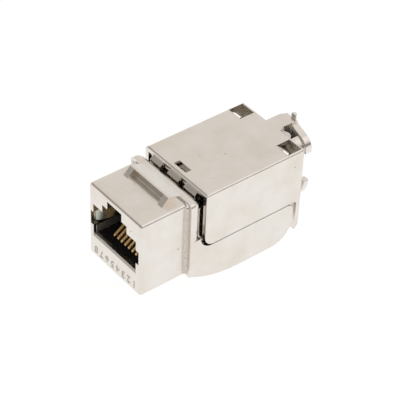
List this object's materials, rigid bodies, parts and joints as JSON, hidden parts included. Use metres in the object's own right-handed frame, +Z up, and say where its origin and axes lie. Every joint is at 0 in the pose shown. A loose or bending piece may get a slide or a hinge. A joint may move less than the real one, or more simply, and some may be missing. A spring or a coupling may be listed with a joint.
{
  "type": "keystone jack",
  "caption": "Shielded keystone network jack of nickel-plated zinc, with a hinged cover over its wire terminals, a plug opening and a cable trough.",
  "frame": {"origin": "on the supporting surface under the middle of the jack, level with the belly", "axes": "+Y from the plug face to the cable end, +Z up through the hinged cover, +X to the right seen from the plug face"},
  "size_m": [0.0168, 0.039, 0.0199],
  "materials": {
    "nickel_plated_zinc": "nickel-plated die casting, satin",
    "pin_steel": "bright",
    "spring_steel": "bright",
    "black_plastic": "matte",
    "white_plastic": "matte",
    "board_laminate": "green solder mask",
    "gold_plated_bronze": "gold-plated",
    "tinned_bronze": "tin-plated"
  },
  "bodies": {
    "housing": {"front_housing": "nickel_plated_zinc", "hinge_pin": "pin_steel", "jack_insert": "black_plastic", "circuit_board": "board_laminate", "idc_block": "black_plastic", "shield_spring_left": "spring_steel", "shield_spring_right": "spring_steel", "contact_1": "gold_plated_bronze", "idc_1": "tinned_bronze", "contact_2": "gold_plated_bronze", "idc_2": "tinned_bronze", "contact_3": "gold_plated_bronze", "idc_3": "tinned_bronze", "contact_4": "gold_plated_bronze", "idc_4": "tinned_bronze", "contact_5": "gold_plated_bronze", "idc_5": "tinned_bronze", "contact_6": "gold_plated_bronze", "idc_6": "tinned_bronze", "contact_7": "gold_plated_bronze", "idc_7": "tinned_bronze", "contact_8": "gold_plated_bronze", "idc_8": "tinned_bronze"},
    "cover": {"top_cover": "nickel_plated_zinc", "wire_manager": "white_plastic"},
    "latch": {"keystone_latch": "spring_steel"}
  },
  "joints": [
    {"name": "cover_hinge", "type": "hinge", "parent": "housing", "child": "cover", "pos_m": [0, -0.00595, 0.0176], "axis": [1, 0, 0], "range_deg": [0, 90]},
    {"name": "latch_flex", "type": "hinge", "parent": "housing", "child": "latch", "pos_m": [0, -0.01775, 0.0026], "axis": [1, 0, 0], "range_deg": [0, 8], "stiffness_Nm_per_rad": 0.6}
  ]
}
